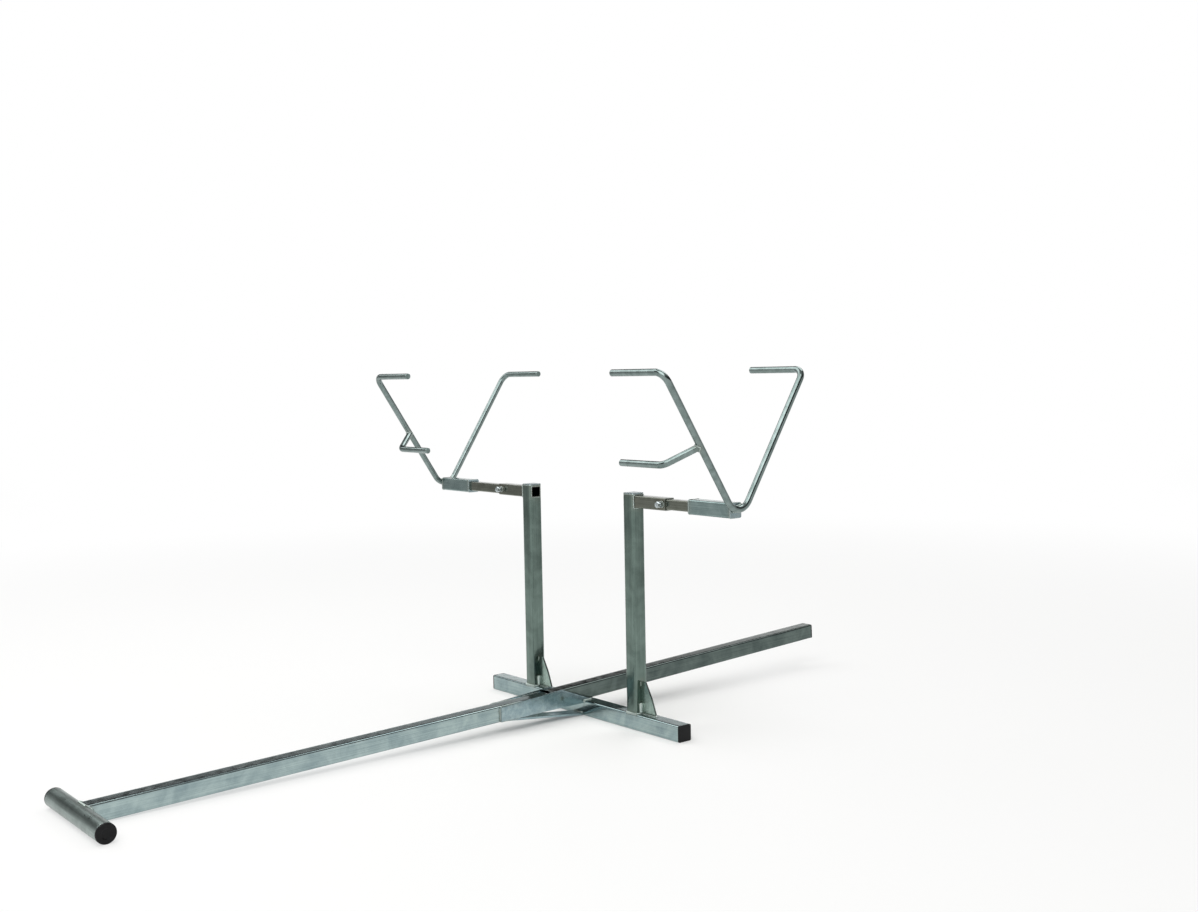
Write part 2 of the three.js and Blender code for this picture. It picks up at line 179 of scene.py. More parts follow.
def loft(shape, loops, closed=False):
    """A skin through loops of equally many points. An open skin gets a face on each end."""
    rings = [[shape.verts.new(point) for point in loop] for loop in loops]
    for near, far in zip(rings, rings[1:] + rings[:1] if closed else rings[1:]):
        for i in range(len(near)):
            j = (i + 1) % len(near)
            shape.faces.new((near[i], near[j], far[j], far[i]))
    if not closed:
        shape.faces.new(rings[0][::-1])
        shape.faces.new(rings[-1])


def solid(loops, closed=False):
    """A new shape with the skin through those loops."""
    shape = bmesh.new()
    loft(shape, loops, closed)
    return shape


def rounded_square(x, size, corner, steps=6, splits=1):
    """The points of a square with round corners, across X at x; splits divides its flats."""
    corner = max(corner, sharpest_corner)
    flat = size / 2 - corner
    points = []
    for quarter, (y_way, z_way) in enumerate(((1, 1), (-1, 1), (-1, -1), (1, -1))):
        for step in range(steps + 1):
            turn = (quarter + step / steps) * pi / 2
            points.append((y_way * flat + corner * cos(turn), z_way * flat + corner * sin(turn)))
    loop = []
    for i, (y, z) in enumerate(points):
        loop.append((x, y, z))
        if i % (steps + 1) == steps:
            next_y, next_z = points[(i + 1) % len(points)]
            loop += [
                (x, y + (next_y - y) * k / splits, z + (next_z - z) * k / splits)
                for k in range(1, splits)]
    return loop


def square_tube(size, wall, corner, start, stop, *welded, steps=6, splits=5):
    """A square tube along X with slightly broken ends, and rings close together beside each weld.
    Its flats are divided too, so that the dull plating keeps to its place."""
    near_welds = {place + way * step for place in welded for step in heat_steps for way in (1, -1)}
    middle = sorted(x for x in near_welds if start + broken_edge < x < stop - broken_edge)
    outside = [(start, broken_edge), (start + broken_edge, 0)] + [(x, 0) for x in middle]
    outside += [(stop - broken_edge, 0), (stop, broken_edge)]
    loops = [
        rounded_square(x, size - 2 * inset, corner - inset, steps, splits) for x, inset in outside]
    loops += [
        rounded_square(x, size - 2 * wall, corner - wall, steps, splits)
        for x in [stop] + middle[::-1] + [start]]
    return solid(loops, closed=True)


def piece(node, shape, material, at=Matrix(), name=None, body=None, soft_flanks=False):
    """A finished piece, made in mm, that stands for a CAD node and rides where it rides. Its flats
    are shaded flat up to their corners, unless they have soft flanks, as roll-formed tube has."""
    bmesh.ops.recalc_face_normals(shape, faces=shape.faces)
    shape.transform(Matrix.Scale(mm, 4))
    mesh = bpy.data.meshes.new(name or f"{node}_finished")
    shape.to_mesh(mesh)
    shape.free()
    mesh.shade_smooth()
    mesh.set_sharp_from_angle(angle=radians(38))
    mesh.materials.append(material)
    made = add_object(mesh.name, mesh)
    made.matrix_world = Matrix.Translation(at.translation * mm) @ at.to_3x3().to_4x4()
    if not soft_flanks:
        made.modifiers.new("flat faces stay flat", "WEIGHTED_NORMAL").keep_sharp = True
    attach(made, body or body_of[node])
    if node:
        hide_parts(node)
    if material.name.startswith("bright zinc"):
        zinc_pieces.append(made)


piece(
    "cross_tube",
    square_tube(tube_size, tube_wall, tube_corner, -cross_half, cross_half, *cross_welds),
    plated_tube, Matrix.Translation((0, 0, half_tube)))

# End inserts of the square tubes
# Injection-moulded black polyethylene: a plug that is driven into the tube and a 4 mm flange with
# rounded edges and a slightly crowned face. The support leg's far end takes the same insert.
flange, flange_round, under_edge = 4, 1.4, 0.3
plug_depth, plug_play, plug_taper = 16, 0.3, 1.5
crown, crown_slope, crown_flat = 0.3, 26, 16

moulded_black = bpy.data.materials.new("moulded black polyethylene")
moulded_black.use_nodes = True
tree = moulded_black.node_tree
place = add_node(tree, "TexCoord").outputs["Object"]
# The mould is spark-eroded: a fine even grain, about 0.3 mm in reality and drawn three times as
# coarse, so that it shows. Scuffs about 9 mm wide make it greyer and duller in places.
grain = add_node(tree, "TexNoise", {
    "Vector": place, "Scale": 1 / (0.9 * mm), "Detail": 2, "Roughness": 0.6})
scuffs = add_node(tree, "TexNoise", {
    "Vector": place, "Scale": 1 / (9 * mm), "Detail": 4, "Roughness": 0.65})
wear = add_node(tree, "MapRange", {
    "Value": scuffs.outputs["Fac"], "From Min": 0.42, "From Max": 0.72})
colour = add_node(tree, "Mix", {
    0: wear.outputs["Result"], 6: linear("#0C0D0E"), 7: linear("#17181A")},
    data_type="RGBA")
gloss = add_node(tree, "MapRange", {
    "Value": scuffs.outputs["Fac"], "From Min": 0.3, "From Max": 0.7,
    "To Min": 0.38, "To Max": 0.56})
relief = add_node(tree, "Bump", {
    "Height": grain.outputs["Fac"], "Strength": 0.4, "Distance": 0.03 * mm})
shader = tree.nodes["Principled BSDF"]
shader.inputs["IOR"].default_value = 1.51
shader.inputs["Specular IOR Level"].default_value = 0.2
tree.links.new(colour.outputs[2], shader.inputs["Base Color"])
tree.links.new(gloss.outputs["Result"], shader.inputs["Roughness"])
tree.links.new(relief.outputs["Normal"], shader.inputs["Normal"])


def rounding(radius, steps=4):
    """How far an edge of that radius is drawn in, and how far from its end, step by step."""
    turns = [step / steps * pi / 2 for step in range(steps + 1)]
    return [(radius * (1 - cos(a)), radius * (1 - sin(a))) for a in turns]


def square_insert():
    """The insert for a tube that ends at x = 0 and points along +X."""
    plug = tube_size - 2 * (tube_wall + plug_play)
    top = plug_play + flange
    sections = [(-plug_depth, plug - 2 * plug_taper), (-plug_depth + plug_taper, plug)]
    sections += [(plug_play, plug), (plug_play, tube_size - 2 * under_edge)]
    sections += [(plug_play + under_edge, tube_size)]
    sections += [
        (top - crown - back, tube_size - 2 * inset) for inset, back in rounding(flange_round)]
    sections += [(top - crown / 3, crown_slope), (top, crown_flat)]
    return solid([
        rounded_square(x, size, tube_corner - (tube_size - size) / 2) for x, size in sections])


both_ends = (("right", 0), ("left", pi))
for side, turn in both_ends:
    cap_at = Matrix.Translation((cross_half * cos(turn), 0, half_tube))
    piece(
        f"cross_tube_cap_{side}", square_insert(), moulded_black,
        cap_at @ Matrix.Rotation(turn, 4, "Z"))

# Lever
# The long handle of the lift, from the same 40 mm tube. Its front end is coped to sit against the
# round T-bar, and its back end is welded between two cheek plates.
bar_radius = 21
seam = 0.3
lever_reach, lever_height = 1295, 55.8
lever_turn = atan2(lever_height - bar_radius, lever_reach)
quarter_left, quarter_right = Matrix.Rotation(pi / 2, 4, "Z"), Matrix.Rotation(-pi / 2, 4, "Z")
lever_at = (
    Matrix.Translation((0, -lever_reach, bar_radius)) @ Matrix.Rotation(lever_turn, 4, "X")
    @ quarter_left)
# The support leg folds up round the hinge pin, and its nose passes the lever's end at a small gap
pin_y, pin_z = -91.805, 57.184
leg_nose, nose_gap = 22, 2.5
lever_end = (lever_reach + pin_y - hypot(leg_nose, half_tube) - nose_gap) / cos(lever_turn)
bar_weld, side_welds = 22, (1015, 1070, 1110, 1165)
round_steps, saddle_steps = 48, 96


def cut(shape, cutter):
    """A solid with the cutter's solid taken out of it."""
    blanks = []
    for blank in (shape, cutter):
        bmesh.ops.recalc_face_normals(blank, faces=blank.faces)
        mesh = bpy.data.meshes.new("blank")
        blank.to_mesh(mesh)
        blank.free()
        blanks.append(add_object("blank", mesh))
    saw = blanks[0].modifiers.new("cut", "BOOLEAN")
    saw.operation, saw.solver, saw.object = "DIFFERENCE", "EXACT", blanks[1]
    result = bmesh.new()
    result.from_object(blanks[0], bpy.context.evaluated_depsgraph_get())
    for blank in blanks:
        bpy.data.meshes.remove(blank.data)
    return result


def spokes(steps):
    """The cosine and sine of each of so many equal steps round a circle."""
    return [(cos(2 * pi * i / steps), sin(2 * pi * i / steps)) for i in range(steps)]


def circle(x, radius, steps=round_steps, y=0, z=0):
    """The points of a circle across the X axis at x."""
    return [(x, y + radius * c, z + radius * s) for c, s in spokes(steps)]


def turned(profile, closed=False, steps=round_steps):
    """A round solid along X from (x, radius) points; a closed one has a bore."""
    return solid([circle(x, radius, steps) for x, radius in profile], closed)


saddle = turned(
    [(way * 1.5 * tube_size, bar_radius + seam) for way in (-1, 1)], steps=saddle_steps)
saddle.transform(quarter_left)
lever = square_tube(tube_size, tube_wall, tube_corner, 0, lever_end, bar_weld, *side_welds)
piece("lever_tube", cut(lever, saddle), plated_tube, lever_at)

# T-bar
# The handle at the lever's front end, 42 mm round tube welded across it. It lies on the floor while
# the lift is up. Its ends take black moulded plugs with a shallow dish in the middle.
bar_half, bar_bore, plug_tip = 146.7, 18.5, 16.5
bar_steps = 72
bar_at = lever_at @ quarter_right
near_lever = sorted({way * (half_tube + step) for step in heat_steps for way in (1, -1)})
bar_end = [(-bar_half, bar_radius - broken_edge), (-bar_half + broken_edge, bar_radius)]
bar_profile = bar_end + [(x, bar_radius) for x in near_lever]
bar_profile += [(-x, radius) for x, radius in bar_end[::-1]]
bar_profile += [(bar_half, bar_bore), (-bar_half, bar_bore)]

# Use and the floor have dulled the film on the handle, so it mirrors less and looks darker
dulled_tube = zinc_plated("handle tube", "#8D9B97", "#6D7A76", 0.3, (180, 3, 3))
piece("t_bar", turned(bar_profile, closed=True, steps=bar_steps), dulled_tube, bar_at)

bar_flange, bar_flange_round, bar_round_steps = 6, 3, 7
# How deep each ring of the dish lies, and its radius
dish = ((0, 11.6), (0.3, 11), (1.1, 9.8), (1.5, 8.8), (1.5, 3))
cap_top = seam + bar_flange
cap_profile = [(-plug_depth, plug_tip), (-plug_depth + plug_taper, bar_bore - seam)]
cap_profile += [(seam, bar_bore - seam), (seam, bar_radius - under_edge)]
cap_profile += [(seam + under_edge, bar_radius)]
cap_profile += [
    (cap_top - back, bar_radius - inset)
    for inset, back in rounding(bar_flange_round, bar_round_steps)]
cap_profile += [(cap_top - depth, radius) for depth, radius in dish]
for side, turn in both_ends:
    cap_at = bar_at @ Matrix.Rotation(turn, 4, "Z") @ Matrix.Translation((bar_half, 0, 0))
    piece(f"t_bar_cap_{side}", turned(cap_profile, steps=bar_steps), moulded_black, cap_at)

# Cheek plates
# Two 5 mm plates, cut from sheet, that join the lever to the cross tube and stand on both sides of
# the support leg. Their sawn edges are broken by hand, and the hinge pin passes through them.
cheek_inner, cheek_thick, cheek_reach, cheek_lip = 20.5, 5, 281, 2
cheek_back, cheek_step, cheek_over_leg = 4, 6, 2
cheek_outer = cheek_inner + cheek_thick
pin_bore, drill_over = 6.3, 2
leg_turn = radians(2.5)
lever_half_height = half_tube / cos(lever_turn)

# Cut plate has no lines of its own; its plating is mottled alike in each direction
plated_plate = zinc_plated("cut plate", "#A3B6BA", "#8399A0", 0.2, (7, 7, 7))


def lever_z(y):
    """The height of the lever's axis above the floor."""
    return lever_height + y * tan(lever_turn)


def fillet(last, here, following, radius, steps=0):
    """Points round a corner of that radius, in so many steps or else in steps of 3 mm."""
    to_last, to_following = (last - here).normalized(), (following - here).normalized()
    half = to_last.angle(to_following) / 2
    centre = here + (to_last + to_following).normalized() * (radius / sin(half))
    first, final = (
        here + way * (radius / tan(half)) - centre for way in (to_last, to_following))
    steps = steps or ceil((pi - 2 * half) * radius / 3)
    return [
        centre + first.normalized().slerp(final.normalized(), step / steps) * first.length
        for step in range(steps + 1)]


def plate(outline, start, thick, corner=1.5, edge=0.6, spacing=8):
    """A plate across X, from (y, z) corners that are rounded a little, with broken edges. Its flat
    faces are divided, so that what lies beside a weld can differ from the rest."""
    corners = [Vector(point) for point in outline]
    rounded = []
    for i, here in enumerate(corners):
        rounded += fillet(corners[i - 1], here, corners[(i + 1) % len(corners)], corner, 4)
    middle = sum(rounded, Vector((0, 0))) / len(rounded)
    inward_ways = []
    for i, point in enumerate(rounded):
        along = (rounded[(i + 1) % len(rounded)] - rounded[i - 1]).normalized()
        inward = Vector((-along.y, along.x))
        inward_ways.append(-inward if inward.dot(middle - point) < 0 else inward)
    sections = [(0, edge), (edge * 0.3, edge * 0.3), (edge, 0)]
    sections += [(thick - x, inset) for x, inset in sections[::-1]]
    shape = solid([
        [(start + x, *(point + way * inset)) for point, way in zip(rounded, inward_ways)]
        for x, inset in sections])
    for way, places in zip((Vector((0, 1, 0)), Vector((0, 0, 1))), zip(*outline)):
        for k in range(ceil(min(places) / spacing), ceil(max(places) / spacing)):
            everything = shape.verts[:] + shape.edges[:] + shape.faces[:]
            bmesh.ops.bisect_plane(
                shape, geom=everything, plane_co=way * (k * spacing), plane_no=way)
    return shape


cheek_outline = [
    (-cheek_reach, lever_z(-cheek_reach) - lever_half_height + cheek_lip),
    (-half_tube - seam, tube_size - cheek_step),
    (-half_tube - seam, tube_size + seam),
    (cheek_back, tube_size + seam),
    (pin_y, pin_z + half_tube / cos(leg_turn) + cheek_over_leg),
    (-cheek_reach, lever_z(-cheek_reach) + lever_half_height - cheek_lip),
]
for side, start in (("right", cheek_inner), ("left", -cheek_outer)):
    drill = solid([
        circle(x, pin_bore, y=pin_y, z=pin_z)
        for x in (start - drill_over, start + cheek_thick + drill_over)])
    cheek = cut(plate(cheek_outline, start, cheek_thick), drill)
    piece(f"hinge_cheek_{side}", cheek, plated_plate)

# Brace
# A 40 x 6 mm flat bar under the lever, down to the foot of the cross tube's front face. It keeps
# the lever from bending away from the cross tube while the T-bar is pressed down.
brace_reach, brace_thick, brace_foot = 266, 6, 0.8
brace_corner, brace_edge = 0.3, 0.8


def under_lever(y):
    """The height of the lever's underside, less the seam."""
    return lever_z(y) - lever_half_height - seam


brace_slope = (under_lever(-brace_reach) - brace_foot) / (-brace_reach + half_tube + seam)
brace_top = brace_foot + brace_thick * hypot(1, brace_slope)
# Where the brace's upper face meets the lever's underside
brace_upper = (brace_top + brace_slope * (half_tube + seam) - under_lever(0)) / (
    tan(lever_turn) - brace_slope)
brace_outline = [
    (-brace_reach, under_lever(-brace_reach)),
    (-half_tube - seam, brace_foot),
    (-half_tube - seam, brace_top),
    (brace_upper, under_lever(brace_upper)),
]
brace = plate(brace_outline, -half_tube, tube_size, brace_corner, brace_edge)
piece("lever_brace", brace, plated_plate)

# Support leg
# 40 mm tube that runs back from the hinge and rests on the cross tube. A bush for the hinge pin is
# welded through its nose, and its far end has a black plastic insert.
leg_end = 949.7
bush_radius, bush_edge = 9, 0.4
leg_at = (
    Matrix.Translation((0, pin_y, pin_z)) @ Matrix.Rotation(leg_turn, 4, "X") @ quarter_left)
bush_hole = turned([(way * tube_size, bush_radius + seam) for way in (-1, 1)])
bush_hole.transform(quarter_left)
leg = cut(square_tube(tube_size, tube_wall, tube_corner, -leg_nose, leg_end, 0), bush_hole)

# Painted shade: the leg's film is painted a good deal darker than the frame's, standing in for the
# shade it lies in
shaded_leg_tube = zinc_plated("leg tube, painted shade", "#66726E", "#485351", 0.09, (180, 2, 2))
piece("support_leg", leg, shaded_leg_tube, leg_at)
bush_profile = [(-half_tube, pin_bore + bush_edge), (-half_tube, bush_radius - bush_edge)]
bush_profile += [(-half_tube + bush_edge, bush_radius)]
bush_profile += [(-x, radius) for x, radius in bush_profile[::-1]]
bush_profile += [(half_tube - bush_edge, pin_bore), (-half_tube + bush_edge, pin_bore)]
bush = turned(bush_profile, closed=True)
piece("support_leg_bush", bush, plated_plate, leg_at @ quarter_left)
leg_cap_at = leg_at @ Matrix.Translation((leg_end, 0, 0))
piece("support_leg_cap", square_insert(), moulded_black, leg_cap_at)

# Hinge pin
# A 12 mm round bar on which the support leg turns. It is welded into both cheek plates and ground
# flush with their outer faces, so that only its two round ends show.
pin_radius, pin_edge = 6, 0.3

# Cold-drawn bar: its lines are too fine to show, so it is only mottled, and a little darker
plated_rod = zinc_plated("drawn bar", "#8C9A98", "#6F7D7A", 0.2, (12, 12, 12))
pin_profile = [(-cheek_outer, pin_radius - pin_edge), (-cheek_outer + pin_edge, pin_radius)]
pin_profile += [(-x, radius) for x, radius in pin_profile[::-1]]
piece("hinge_pin", turned(pin_profile), plated_rod, Matrix.Translation((0, pin_y, pin_z)))

# Uprights
# 38 mm tubes with corners rolled to 6 mm, which stand on the cross tube, with a 3 mm plate welded
# over each top. The arm socket passes through a window below that plate.
upright_size, upright_corner, upright_x = 38, 6, 209
upright_foot, upright_end = 40.3, 583.7
half_upright = upright_size / 2
arm_z, socket_size, socket_wall, socket_corner = 566, 30, 2, 3
half_socket = socket_size / 2
lid_top, lid_thick = 587, 3
lid_sections = (
    (0, 0.5), (0.5, 0), (lid_thick - 0.8, 0), (lid_thick - 0.25, 0.25), (lid_thick, 0.8))
window_corner = 1
gusset_height = 80
# The heights of the welds on an upright
upright_welds = (
    upright_foot, upright_foot + gusset_height, arm_z - half_socket, arm_z + half_socket)
stand_up = Matrix.Rotation(-pi / 2, 4, "Y")

# Painted shade: the uprights' film is painted greener and darker than the frame's, standing in for
# the shade on them
shaded_upright_tube = zinc_plated("upright tube, painted shade", "#73847D", "#596862", 0.14, (180, 2, 2))

sides = (("right", 1), ("left", -1))
for side, way in sides:
    shaft = square_tube(
        upright_size, tube_wall, upright_corner, upright_foot, upright_end, *upright_welds,
        steps=4, splits=3)
    window = solid([
        rounded_square(reach * upright_size, socket_size + 2 * seam, window_corner)
        for reach in (-2, 2)])
    window.transform(Matrix.Translation((arm_z, 0, 0)) @ Matrix.Rotation(pi / 2, 4, "Y"))
    piece(
        f"upright_{side}", cut(shaft, window), shaded_upright_tube,
        Matrix.Translation((way * upright_x, 0, 0)) @ stand_up, soft_flanks=True)
    lid = solid([
        rounded_square(up, upright_size - 2 * inset, upright_corner - inset)
        for up, inset in lid_sections])
    piece(
        f"upright_top_{side}", lid, plated_plate,
        Matrix.Translation((way * upright_x, 0, lid_top - lid_thick)) @ stand_up)

# Gussets
# A 5 mm plate welded into the corner between each upright and the cross tube, on its right-hand
# side. Its sloping edge has a knee, and its toe runs out low on the cross tube.
gusset_out, gusset_toe, gusset_knee, gusset_nose, gusset_thick = 53, 4, (38, 42), 16, 5
gusset_corner = 1
gusset_outline = [
    (0, 0), (gusset_out, 0), (gusset_out, gusset_toe), gusset_knee, (gusset_nose, gusset_height),
    (0, gusset_height)]
gusset_root = {side: way * upright_x + half_upright + seam for side, way in sides}

# Painted shade: like the uprights, the gussets are painted a darker green than the other plates
shaded_gusset_plate = zinc_plated("gusset plate, painted shade", "#9DB0A8", "#7E9189", 0.22, (7, 7, 7))

for side, root in gusset_root.items():
    gusset = plate(gusset_outline, -gusset_thick / 2, gusset_thick, gusset_corner)
    gusset_at = Matrix.Translation((root, 0, upright_foot)) @ quarter_right
    piece(f"foot_gusset_{side}", gusset, shaded_gusset_plate, gusset_at)

# Arm sockets and clamp screws
# 30 mm tubes through the uprights, open outwards, in which the cradles' bars slide. On the front of
# each mouth a nut is welded over a drilled hole, and an M8 hexagon screw in it clamps the bar.
socket_start, socket_end, screw_x = 190, 340, 328
screw_radius, screw_flats, screw_head, screw_pitch, screw_tip = 4, 13, 5.5, 1.25, 12.8
nut_seat, nut_height = half_socket + seam, 6.5
# How far the head and the first turn of thread stand off the nut, and the drill's reach for it
head_off, thread_off, drill_reach = 4, 3, 10

# Painted shade: the sockets and slide bars are painted darker than the frame, and a little yellow
shaded_sliding_tube = zinc_plated("sliding tube, painted shade", "#80847A", "#63665D", 0.15, (180, 2, 2))

# Bought bright zinc plated: paler than the welded steel, with fine marks of the tool round it
bright_fastener = zinc_plated("turned fasteners", "#C8D0D1", "#A9B3B5", 0.2, (9, 0.8, 9))


def hexagon(x, flats, lift=0):
    """The points of a hexagon across X; lift moves a point along X by how far a 30 degree chamfer
    that starts at the flats has fallen there."""
    loop = []
    for i, (c, s) in enumerate(spokes(round_steps)):
        off_middle = (2 * pi * i / round_steps + pi / 6) % (pi / 3) - pi / 6
        radius = flats / 2 / cos(off_middle)
        drop = (radius - flats / 2 * 0.96) * tan(pi / 6)
        loop.append((x + lift * drop, radius * c, radius * s))
    return loop


def thread(start, stop, radius, pitch, rings_per_turn=5):
    """Loops of a screw thread along X, which fades in and out over one turn."""
    depth = 0.6 * pitch
    count = max(2, ceil(abs(stop - start) / (pitch / rings_per_turn)))
    loops = []
    for k in range(count + 1):
        x = start + (stop - start) * k / count
        fade = min(1, k / rings_per_turn, (count - k) / rings_per_turn)
        loop = []
        for i, (c, s) in enumerate(spokes(round_steps)):
            turns = abs(x - start) / pitch - i / round_steps
            tooth = abs(2 * (turns % 1) - 1)
            r = radius - depth * fade * (1 - tooth)
            loop.append((x, r * c, r * s))
        loops.append(loop)
    return loops


def hexagon_screw(flats, head_start, head_height, radius, thread_start, tip, pitch):
    """A screw whose head points along +X and whose shank runs back to the tip. The head has a
    shallow hollow on top, chamfered corners and a washer face below."""
    top = head_start + head_height
    loops = [circle(top - 0.5, flats * 0.33), circle(top, flats * 0.36), circle(top, flats * 0.48)]
    loops += [hexagon(top, flats, -1), hexagon(head_start + 0.5, flats)]
    loops += [circle(head_start + 0.4, flats * 0.475), circle(head_start, flats * 0.47)]
    loops += [circle(head_start, radius + 0.4), circle(head_start - 0.4, radius)]
    loops += thread(thread_start, tip + 1.2, radius, pitch) + [circle(tip, radius - 1.3)]
    return solid(loops)


def hexagon_nut(flats, start, height, radius):
    """A nut along X from its seat at start, with a countersunk bore and chamfered corners."""
    top = start + height
    loops = [circle(start + 0.5, radius), circle(start, radius + 0.7), circle(start, flats * 0.48)]
    loops += [hexagon(start, flats, 1), hexagon(top, flats, -1), circle(top, flats * 0.48)]
    loops += [circle(top, radius + 0.7), circle(top - 0.5, radius)]
    return solid(loops, closed=True)


for side, way in sides:
    socket_welds = [way * place for place in (socket_start, upright_x + half_upright, screw_x)]
    socket = square_tube(
        socket_size, socket_wall, socket_corner, *sorted((way * socket_start, way * socket_end)),
        *socket_welds)
    hole = solid([
        circle(half_socket + reach, screw_radius + seam) for reach in (-drill_reach, drill_reach)])
    hole.transform(Matrix.Translation((way * screw_x, 0, 0)) @ quarter_right)
    piece(f"arm_socket_{side}", cut(socket, hole), shaded_sliding_tube, Matrix.Translation((0, 0, arm_z)))

    screw_at = Matrix.Translation((way * screw_x, 0, arm_z)) @ quarter_right
    nut = hexagon_nut(screw_flats, nut_seat, nut_height, screw_radius + seam)
    piece(f"clamp_nut_{side}", nut, bright_fastener, screw_at)
    nut_top = nut_seat + nut_height
    screw = hexagon_screw(
        screw_flats, nut_top + head_off, screw_head, screw_radius, nut_top + thread_off, screw_tip,
        screw_pitch)
    piece(f"clamp_screw_{side}", screw, bright_fastener, screw_at)

# Cradles
# Each is a 25 mm slide bar in a 35 mm sleeve with a plate on both ends, a V of bent 16 mm round bar
# and a bent stop rod. They are welded together, and slide in the sockets as one piece.
cradle_x = {"right": 570, "left": 633}
bar_size, bar_corner, bar_length = 25, 3, 345
sleeve_size, sleeve_corner, sleeve_length = 35, 4, 133.7
rod_radius, rod_edge = 8, 0.8
end_thick = 3
end_sections = ((0, 0.5), (0.5, 0), (end_thick - 0.5, 0), (end_thick, 0.5))
# Distances inwards from the V's plane
outer_plate = rod_radius + seam
sleeve_start = outer_plate + end_thick + seam
sleeve_end = sleeve_start + sleeve_length
inner_plate = sleeve_end + seam
v_half, v_top, v_apex = 222, 881, 537
apex_bend, top_bend, crossbar = 38, 27, 171
stop_z, stop_in, stop_forward, stop_drop, stop_length, stop_bend = 717, 53, 63, 40, 194, 25
cope_reach = 30

# Painted shade: the sleeves are painted a little darker than the frame, and are a little rougher
shaded_sleeve_tube = zinc_plated("sleeve tube, painted shade", "#94A6A4", "#738685", 0.18, (180, 2, 2))


def bent_axis(corners, bends):
    """Points along straight runs with rounded corners."""
    line = [corners[0]]
    for last, here, following, bend in zip(corners, corners[1:], corners[2:], bends):
        line += fillet(last, here, following, bend)
    return line + [corners[-1]]


def dense(line, spacing=12):
    """The same line with points no further apart than the spacing."""
    points = [line[0]]
    for near, far in zip(line, line[1:]):
        steps = max(1, ceil((far - near).length / spacing))
        points += [near.lerp(far, step / steps) for step in range(1, steps + 1)]
    return points


def round_bar(line, radius, steps=28):
    """A round bar along the line, with sawn and broken ends."""
    last = len(line) - 1
    along = [(line[min(i + 1, last)] - line[max(i - 1, 0)]).normalized() for i in range(last + 1)]
    across = along[0].orthogonal().normalized()
    loops = []
    for i, point in enumerate(line):
        across = (across - along[i] * across.dot(along[i])).normalized()
        other = along[i].cross(across)
        sections = [(0, radius)]
        if i == 0:
            sections = [(0, radius - rod_edge), (rod_edge, radius)]
        if i == last:
            sections = [(-rod_edge, radius), (0, radius - rod_edge)]
        for shift, size in sections:
            loops.append([
                point + along[i] * shift + across * size * c + other * size * s
                for c, s in spokes(steps)])
    return solid(loops)


cradle_parts = {}
for side, way in sides:
    cradle_at = Matrix.Translation((way * cradle_x[side], 0, arm_z))
    inwards = cradle_at @ Matrix.Rotation(pi if way > 0 else 0, 4, "Z")

    bar = square_tube(
        bar_size, tube_wall, bar_corner, sleeve_start, sleeve_start + bar_length,
        inner_plate + end_thick)
    piece(f"slide_bar_{side}", bar, shaded_sliding_tube, inwards)
    sleeve = square_tube(
        sleeve_size, tube_wall, sleeve_corner, sleeve_start, sleeve_end, sleeve_start, sleeve_end)
    piece(f"cradle_sleeve_{side}", sleeve, shaded_sleeve_tube, inwards)
    outer, inner = ([
        rounded_square(start + x, sleeve_size - 2 * inset, sleeve_corner)
        for x, inset in end_sections] for start in (outer_plate, inner_plate))
    piece(f"sleeve_outer_plate_{side}", solid(outer), plated_plate, inwards)
    inner += [
        rounded_square(inner_plate + x, bar_size + 2 * seam, bar_corner) for x in (end_thick, 0)]
    piece(f"sleeve_inner_plate_{side}", solid(inner, closed=True), plated_plate, inwards)

    near_x, far_x, stop_x = (
        way * (cradle_x[side] - inward) for inward in (0, crossbar, stop_in))
    rod_corners = [Vector(corner) for corner in (
        (far_x, -v_half, v_top), (near_x, -v_half, v_top), (near_x, 0, v_apex),
        (near_x, v_half, v_top), (far_x, v_half, v_top))]
    rod = round_bar(dense(bent_axis(rod_corners, [top_bend, apex_bend, top_bend])), rod_radius)
    piece(f"cradle_rod_{side}", rod, plated_rod)

    leg_way = (rod_corners[1] - rod_corners[2]).normalized()
    join = rod_corners[2] + leg_way * ((stop_z - v_apex) / leg_way.z)
    stop_y, stop_foot = join.y - stop_forward, stop_z - stop_drop
    stop_corners = [
        join, Vector((stop_x, stop_y, stop_foot)),
        Vector((way * (cradle_x[side] - stop_length), stop_y, stop_foot))]
    cope_ends = [join - leg_way * cope_reach, join + leg_way * cope_reach]
    leg_space = round_bar(cope_ends, rod_radius + seam, round_steps)
    stop = cut(round_bar(dense(bent_axis(stop_corners, [stop_bend])), rod_radius), leg_space)
    piece(f"stop_rod_{side}", stop, plated_rod)
    cradle_parts[side] = (join, leg_way, (stop_corners[1] - join).normalized())

# Welds
# Hand-laid MIG beads, 2 to 6 mm wide and 10 mm at the gussets' roots, with ripples about 1.5 mm
# apart. The plating lies rougher and paler on them. Each rides with the pieces that it joins.
plated_weld = zinc_plated("weld metal", "#BCCAC6", "#98A5A1", 0.36, (3, 3, 3))
# The heavy beads at the gussets' ends are painted near white, a painted highlight, the palest
# plating of all
highlighted_weld = zinc_plated("weld metal, painted highlight", "#F2F8F6", "#DDE8E4", 0.44, (3, 3, 3))
ripple_pitch, bead_sides = 1.5, 8
bead_step = ripple_pitch / 3
lean = Vector((0.53, 0.61, 0.59))


